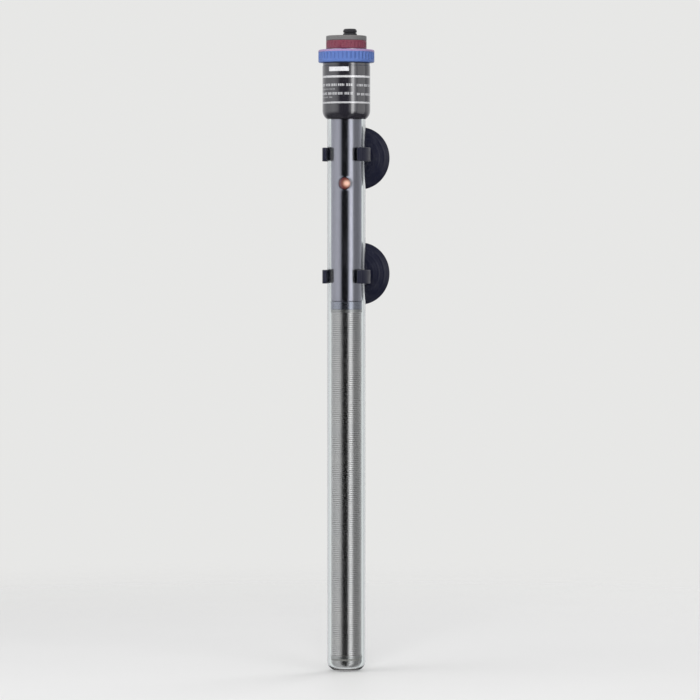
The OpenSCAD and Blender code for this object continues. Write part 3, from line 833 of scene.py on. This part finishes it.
def dial_marks():
    """Plain temperature numbers and tick marks printed on the setting ring's top face."""
    coldest = 18
    warmest = 34
    half_span = (warmest - coldest) / 2
    half_turn = 135
    tick_end = DIAL_R + 2
    parts = []
    for value in range(coldest, warmest + 1, 2):
        angle = math.radians(half_turn * (coldest + half_span - value) / half_span - 90)
        text = bpy.data.curves.new("number", "FONT")
        text.body = str(value)
        text.size = 3.1 * MM
        text.extrude = 0.03 * MM
        text.align_x = "CENTER"
        text.align_y = "CENTER"
        holder = placed("number", text)
        holder.location = Vector((DIAL_R * math.cos(angle), DIAL_R * math.sin(angle), RING_TOP + 0.02)) * MM
        holder.rotation_euler = (0, 0, angle + math.pi / 2)
        bpy.context.view_layer.update()
        mesh = bpy.data.meshes.new_from_object(holder.evaluated_get(bpy.context.evaluated_depsgraph_get()))
        mesh.transform(holder.matrix_world)
        parts.append(([tuple(v.co / MM) for v in mesh.vertices], [list(p.vertices) for p in mesh.polygons]))
        bpy.data.objects.remove(holder)
    halves = 2 * (warmest - coldest)
    for k in range(halves + 1):
        if k % 4 == 0:
            continue
        angle = math.radians(half_turn * (2 * k / halves - 1) - 90)
        half_long = 0.45 if k % 2 == 0 else 0.225
        middle = Vector((math.cos(angle), math.sin(angle), 0)) * (tick_end - half_long)
        parts.append(bar(middle, angle, half_long, 0.12, RING_TOP - 0.01, RING_TOP + 0.05))
    piece = build("dial_marks", *joined(parts), "setting_ring", 20)
    finish_piece(piece, PRINT)


def calibration_ring():
    """The red ring: fine axial knurls, which stop short of the front, where the pointer sits."""
    knurls = 30
    count = knurls * 16
    hub = HUB_R + GAP

    def knurled(depth):
        """The knurled wall's reach by angle. The knurls stop short of the pointer."""
        def reach(a):
            to_front = abs((a + math.pi / 2 + math.pi) % (2 * math.pi) - math.pi)
            calm = smooth_step((to_front - 0.10) / 0.05)
            return RED_R - depth * calm * (0.5 + 0.5 * math.cos(knurls * (a + math.pi / 2))) ** 2
        return reach

    stations = [(hub, RED_BOTTOM), (RED_R - 0.4, RED_BOTTOM), (RED_R - 0.1, RED_BOTTOM + 0.12),
                (RED_R, RED_BOTTOM + 0.4), (RED_R, RED_BOTTOM + 0.8)]
    stations += [(knurled(d), RED_BOTTOM + rise) for rise, d in ((1.0, 0.1), (1.25, 0.3), (1.7, 0.34))]
    stations += [(knurled(d), RED_TOP - drop) for drop, d in ((2.0, 0.34), (1.5, 0.3), (1.25, 0.1))]
    stations += [(RED_R, RED_TOP - 0.95), (RED_R, RED_TOP - 0.3), (RED_R - 0.12, RED_TOP - 0.08),
                 (RED_R - 0.35, RED_TOP), (hub, RED_TOP)]
    rings = [circle(r, z, count) for r, z in stations]
    piece = build("knurled_calibration_ring", *loft(rings, closed=True), "calibration_ring", 32)
    finish_piece(piece, RED, "ring_red", "calibration_ring")


def pointer():
    """A moulded arrowhead on the calibration ring, aimed down at the dial."""
    base = RED_R - 0.15
    tip = RED_R + 0.42
    upper = RED_TOP - 2.6
    lower = RED_BOTTOM + 0.3
    neck = lower + 1.6
    middle = (upper + lower) / 2
    outline = [(-1.0, upper), (1.0, upper), (1.0, neck), (0.12, lower), (-0.12, lower), (-1.0, neck)]
    inset = [(x * 0.7, (z - middle) * 0.86 + middle) for x, z in outline]
    verts, faces = loft([[(x, -base, z) for x, z in outline], [(x, -tip + 0.15, z) for x, z in outline],
                         [(x, -tip, z) for x, z in inset]])
    faces.extend([[5, 4, 3, 2, 1, 0], [12, 13, 14, 15, 16, 17]])
    piece = build("dial_pointer", verts, faces, "calibration_ring", 30)
    finish_piece(piece, RED)


def top_cap():
    """The grey lid, with a shallow dish, screw wells and the hole for the cord grommet."""
    dish = LID_TOP - 0.22
    below = LID_BOTTOM - 1
    above = LID_TOP + 1
    outline = rounded([(0, LID_BOTTOM), (RED_R, LID_BOTTOM), (RED_R, LID_TOP), (RED_R - 2.0, LID_TOP),
                       (RED_R - 2.3, dish), (0, dish)], [0, 0.15, 0.7, 0.12, 0.12, 0], 6)
    piece = build("lid", *lathe(outline, 128), "housing")
    holes = [(3.9, 0, CORD_Y, below, above), (4.6, 0, CORD_Y, below, LID_BOTTOM + 0.7)]
    for side in (-1, 1):
        holes.append((1.25, side * SCREW_X, SCREW_Y, below, above))
        holes.append((SCREW_HEAD_R + 0.15, side * SCREW_X, SCREW_Y, LID_TOP - 1.4, above))
    drill(piece, holes)
    finish_piece(piece, GREY, "lid_grey", "top_cap")


def cover_screws():
    """Pan head screws: domed heads with a crossed recess, and threaded shanks."""
    core_r = 1.0
    crest_r = 1.2
    thread_pitch = 0.5
    head_bottom = LID_TOP - 1.35
    head_top = LID_TOP - 0.12
    shank_bottom = low("cover_screws").z
    outline = [(0, shank_bottom), (0.3, shank_bottom + 0.2), (core_r, shank_bottom + 1.1)]
    z = shank_bottom + 1.2
    while z < LID_TOP - 2.4:
        outline += [(core_r, z), (crest_r, z + 0.22), (core_r, z + 0.44)]
        z += thread_pitch
    outline += rounded([(core_r, LID_TOP - 1.9), (core_r, head_bottom), (SCREW_HEAD_R, head_bottom),
                        (SCREW_HEAD_R, head_top - 0.45), (1.5, head_top), (0, head_top + 0.04)],
                       [0, 0.05, 0.1, 0.25, 0.5, 0], 4)
    shapes = [lathe(outline, 48, (side * SCREW_X, SCREW_Y)) for side in (-1, 1)]
    piece = build("pan_head_screws", *joined(shapes), "housing", 40)
    for side in (-1, 1):
        middle = Vector((side * SCREW_X, SCREW_Y, 0))
        for lean in (20, 110):
            cut(piece, bar(middle, math.radians(lean), 1.25, 0.28, head_top - 0.75, head_top + 0.5))
    set_smooth(piece, 40)
    finish_piece(piece, STEEL, "screw_steel", "cover_screws")


def grommet():
    """The cord's rubber gland: a flange in the lid, then two soft ribs."""
    r = radius("cord_grommet")
    top = high("cord_grommet").z
    bore = CORD_R + GAP
    neck = 3.85
    groove = r - 0.7
    foot = LID_BOTTOM + GAP
    flange = LID_BOTTOM + 0.65
    seat = LID_TOP + GAP
    corners = [(bore, foot), (r, foot), (r, flange), (neck, flange), (neck, seat), (r, seat),
               (r, LID_TOP + 1.75), (groove, LID_TOP + 2.0), (groove, LID_TOP + 2.35), (r, LID_TOP + 2.6),
               (r - 0.15, top - 0.9), (r - 0.9, top), (bore, top)]
    sizes = [0, 0.12, 0.12, 0.1, 0.1, 0.45, 0.45, 0.2, 0.2, 0.45, 0.6, 0.35, 0]
    outline = rounded(corners, sizes, 5)
    piece = build("cord_gland", *lathe(outline, 72, (0, CORD_Y), closed=True), "housing")
    finish_piece(piece, GROMMET, "grommet_rubber", "cord_grommet")


def power_cord():
    """The round cord, cut square, with its two insulated cores showing."""
    bottom = low("power_cord").z
    top = high("power_cord").z
    outline = rounded([(0, bottom), (CORD_R, bottom), (CORD_R, top), (0, top)], [0, 0.1, 0.35, 0], 4)
    piece = build("cord_outer_sheath", *lathe(outline, 64, (0, CORD_Y)), "housing")
    drill(piece, [(CORE_R + GAP, side * CORE_X, CORD_Y, bottom - 1, top + 1) for side in (-1, 1)])
    finish_piece(piece, SHEATH, "cord_sheath", "power_cord")


def cord_cores():
    """Brown and blue insulation on the two cores."""
    bottom = low("cord_cores").z
    top = high("cord_cores").z
    bore = 0.52
    outline = rounded([(bore, bottom), (CORE_R, bottom), (CORE_R, top), (bore, top)], [0, 0.05, 0.08, 0], 3)
    cores = ((-1, "core_brown", (0.13, 0.05, 0.025)), (1, "core_blue", (0.03, 0.08, 0.32)))
    for side, name, colour in cores:
        piece = build(name, *lathe(outline, 32, (side * CORE_X, CORD_Y), closed=True), "housing")
        finish_piece(piece, plastic(name + "_insulation", colour, 0.4), "core_insulation", "cord_cores")


def clips():
    """The rubber clips, softened so that every edge and inner corner is a moulded fillet."""
    for name in ("clip_upper", "clip_lower"):
        piece = placed(name + "_moulded", frame["nodes"][name].data.copy())
        weld = piece.modifiers.new("weld", "WELD")
        weld.merge_threshold = 0.002 * MM
        remesh = piece.modifiers.new("remesh", "REMESH")
        remesh.mode = "VOXEL"
        remesh.voxel_size = 0.24 * MM
        soften = piece.modifiers.new("soften", "SMOOTH")
        soften.factor = 0.5
        soften.iterations = 7
        set_modified(piece)
        piece.data.shade_smooth()
        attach(piece, name)
        finish_piece(piece, CLIP, "clip_black", name)


def cups():
    """Suction cups: a flared bell, ribbed on its back, with a knob that sits in the clip.

    The outline runs from the knob's end over the back to the rim, then over the wall side to the centre.
    """
    r = radius("cup_upper")
    front = low("cup_upper").y
    knob_r = 4.2
    neck_r = 3.0
    bell_r = 5.3
    flare_r = r - 0.25
    bowl_r = r - 1.5
    back = WALL_Y - 5.8
    rib_pitch = 3.4
    steps = 36
    outline = rounded([(0, front), (3.3, front), (knob_r, front + 0.75), (knob_r, WALL_Y - 8.8),
                       (neck_r, WALL_Y - 8.7), (neck_r, back - 0.1), (bell_r, back)],
                      [0, 0.5, 0.4, 0.3, 0.2, 0.5, 0], 4)
    for i in range(1, steps + 1):
        t = i / steps
        reach = bell_r + (flare_r - bell_r) * t
        rib = 0.16 * smooth_step((math.cos(2 * math.pi * (reach - 7.2) / rib_pitch) - 0.55) / 0.3)
        fade = smooth_step(t / 0.08) * smooth_step((0.93 - t) / 0.08)
        outline.append((reach, back + 5.1 * t ** 1.8 - rib * fade))
    outline += rounded([(flare_r, WALL_Y - 0.62), (r, WALL_Y - 0.4), (r - 0.1, WALL_Y), (r - 1.1, WALL_Y),
                        (r - 1.25, WALL_Y - 0.3), (bowl_r, WALL_Y - 0.34)], [0, 0.2, 0.15, 0.1, 0.1, 0], 3)
    for i in range(1, steps + 1):
        reach = bowl_r * (1 - i / steps)
        bowl = 0.34 + 3.3 * (1 - (reach / bowl_r) ** 2)
        pip = 0.45 * smooth_step((1.9 - reach) / 0.6)
        moat = 0.3 * smooth_step((3.3 - reach) / 0.5) * smooth_step((reach - 2.0) / 0.5)
        outline.append((reach, WALL_Y - bowl + pip - moat))
    verts, faces = lathe(outline, 112)
    for name in ("cup_upper", "cup_lower"):
        centre_z = (low(name).z + high(name).z) / 2
        piece = build(name + "_bell", about_y(verts, centre_z), faces, name, 50)
        finish_piece(piece, CUP, "cup_black", name)


def neon_lamp():
    """The two glowing rods in the lamp's bulb."""
    glow = Finish("neon_rods", Base_Color=(0.9, 0.3, 0.1), Emission_Strength=6.0)
    glow.set(Emission_Color=glow.mix(glow.noise(1.2), (1.0, 0.25, 0.05), (1.0, 0.45, 0.15)))
    r = 0.45
    bottom = LAMP_Z - 3.4
    top = LAMP_Z + 2.4
    outline = rounded([(0, bottom), (r, bottom), (r, top), (0, top)], [0, 0.15, 0.3, 0], 3)
    across = Vector((math.cos(LAMP_TURN), math.sin(LAMP_TURN))) * 0.85
    shapes = [lathe(outline, 16, LAMP_AT.xy + across * side) for side in (-1, 1)]
    rods = build("neon_rods", *joined(shapes), "housing")
    finish_piece(rods, glow)


# -------- the object

def dress_cad_nodes():
    """Gives every CAD node a finish; the ones that a new piece stands for are hidden afterwards."""
    slots = {row["node"]: row["material_slot"] for row in frame["record"]["subparts"]}
    for name, node in frame["nodes"].items():
        finish_piece(node, NODE_FINISHES.get(SAME_FINISH.get(name, name), HUB), slots[name])


dress_cad_nodes()
for make in (glass_tube, winding, winding_bands, joint_ring, thermostat_sleeve, lamp_lens, neon_lamp,
             head_cap, setting_ring, dial_marks, calibration_ring, pointer, top_cap, cover_screws, grommet,
             power_cord, cord_cores, clips, cups):
    make()


# -------- stage, lights and camera

def direction(azimuth, elevation):
    """Unit vector from the object towards a place round it; azimuth 0 is in front, at -Y."""
    a, e = math.radians(azimuth), math.radians(elevation)
    return Vector((math.sin(a) * math.cos(e), -math.cos(a) * math.cos(e), math.sin(e)))


def floor():
    """A pale floor that fades into the backdrop between near and edge."""
    near = 220
    edge = 900
    mesh = bpy.data.meshes.new("floor")
    verts, faces = lathe([(0, 0), (near, 0), (edge, 0)], 96)
    mesh.from_pydata([Vector(v) * MM for v in verts], [], faces)
    plane = placed("floor", mesh)
    plane.location.z = -0.02 * MM
    plane.visible_glossy = False
    plane.visible_transmission = False
    made = Finish("floor_paint", Roughness=0.55, Specular_IOR_Level=0.25)
    tone = made.noise(120, 3)
    made.set(Base_Color=made.mix(tone, shade(BACKDROP, 0.97), BACKDROP))
    made.bump(made.noise(2.5, 3), 0.02)
    far = made.node("VectorMath", {"operation": "LENGTH"}, Vector=made.place).outputs["Value"]
    fade = made.fit(far, near, edge)
    clear = made.node("BsdfTransparent")
    blend = made.node("MixShader", Fac=fade)
    made.feed(blend.inputs[1], made.shader.outputs[0])
    made.feed(blend.inputs[2], clear.outputs[0])
    made.feed(made.out.inputs["Surface"], blend.outputs[0])
    plane.data.materials.append(made.data)
    plane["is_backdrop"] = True


def studio_world():
    """A plain pale room for the camera. Reflections see dark and bright panels and a dark floor."""
    world = bpy.data.worlds.new("studio")
    bpy.context.scene.world = world
    made = Nodes(world)
    x, y, z = made.node("SeparateXYZ", Vector=made.node("TexCoord").outputs["Generated"]).outputs
    turn = made.calc("ARCTAN2", x, made.calc("MULTIPLY", y, -1.0))
    around = made.node("MapRange", Value=turn, From_Min=-math.pi, From_Max=math.pi).outputs[0]

    # Brightness round the room, by degrees to the right of the camera
    panels = [(-180, 0.72), (-108, 0.52), (-64, 0.70), (-44, 0.50), (-31, 0.008), (8, 0.008), (18, 0.5),
              (27, 1.2), (40, 1.2), (54, 0.27), (90, 0.25), (130, 0.45)]
    stops = sorted((((CAMERA_AZIMUTH + degrees + 180) % 360) / 360, value) for degrees, value in panels)
    # The ramp's two ends meet behind the object, so they share one brightness
    seam = stops[0][1]
    stops.append((1.0, seam))
    ramp = made.node("ValToRGB", Fac=around)
    elements = ramp.color_ramp.elements
    while len(elements) > 1:
        elements.remove(elements[0])
    elements[0].position = 0
    elements[0].color = (seam, seam, seam, 1)
    for place, value in stops:
        elements.new(place).color = (value, value, value * 1.02, 1)

    # The dark floor is left out for rays that have passed through glass
    rays = made.node("LightPath").outputs
    rise = made.node("MapRange", Value=z, From_Min=-0.5, From_Max=-0.1, To_Min=0.12, To_Max=1.0).outputs[0]
    height = made.calc("MAXIMUM", rise, rays["Transmission Depth"])
    height.node.use_clamp = True
    reflected = made.node("VectorMath", {"operation": "SCALE"}, Vector=ramp.outputs[0], Scale=height)

    # The camera sees the plain backdrop, directly or through the glass
    bounces = made.calc("ADD", rays["Glossy Depth"], rays["Diffuse Depth"])
    through = made.calc("MULTIPLY", rays["Is Transmission Ray"], made.calc("LESS_THAN", bounces, 0.5))
    seen = made.calc("MAXIMUM", rays["Is Camera Ray"], through)
    sky = made.node("Background", Color=made.mix(seen, reflected.outputs[0], BACKDROP), Strength=1.0)
    made.node("OutputWorld", Surface=sky.outputs[0])


def softbox(name, azimuth, elevation, distance, wide, tall, power, only=None):
    """An area light that faces the object's middle. With only, it lights and shines in that one piece."""
    data = bpy.data.lights.new(name, "AREA")
    data.shape = "RECTANGLE"
    data.size = wide
    data.size_y = tall
    data.energy = power
    lamp = placed(name, data)
    away = direction(azimuth, elevation)
    lamp.location = Vector((0, 0, high("cord_grommet").z / 2 * MM)) + away * distance
    lamp.rotation_euler = away.to_track_quat("Z", "Y").to_euler()
    lamp.visible_camera = False
    lamp.visible_glossy = bool(only)
    lamp.visible_transmission = False
    if only:
        receivers = bpy.data.collections.new(name + "_receivers")
        receivers.objects.link(bpy.data.objects[only])
        lamp.light_linking.receiver_collection = receivers


def camera():
    """A long lens, level with the heater's middle."""
    lens_data = bpy.data.cameras.new("camera")
    lens_data.lens = 200
    lens_data.sensor_width = 36
    eye = placed("camera", lens_data)
    lo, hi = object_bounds()
    aside = 2.5 * MM
    margin = 1.09
    centre = Vector((aside, 0, (lo.z + hi.z) / 2))
    span = (hi.z - lo.z) * margin
    distance = span / 2 / math.tan(math.atan(lens_data.sensor_width / 2 / lens_data.lens))
    away = direction(CAMERA_AZIMUTH, CAMERA_ELEVATION)
    eye.location = centre + away * distance
    eye.rotation_euler = away.to_track_quat("Z", "Y").to_euler()
    lens_data.clip_end = 50
    bpy.context.scene.camera = eye


floor()
studio_world()
softbox("key_left", CAMERA_AZIMUTH - 80, 14, 1.3, 0.9, 1.4, 4)
softbox("front", CAMERA_AZIMUTH - 4, 8, 1.3, 0.5, 1.4, 15)
softbox("fill_back", CAMERA_AZIMUTH + 140, 20, 1.5, 0.8, 1.2, 8)
softbox("top", CAMERA_AZIMUTH - 20, 80, 1.3, 0.9, 0.9, 5)
softbox("head_streak", CAMERA_AZIMUTH + 31, 5, 1.0, 0.24, 1.4, 1.7, "head_housing")
softbox("head_side", CAMERA_AZIMUTH + 78, 5, 1.3, 1.1, 1.4, 2.0, "head_housing")
camera()
bpy.context.scene.view_settings.view_transform = "Standard"
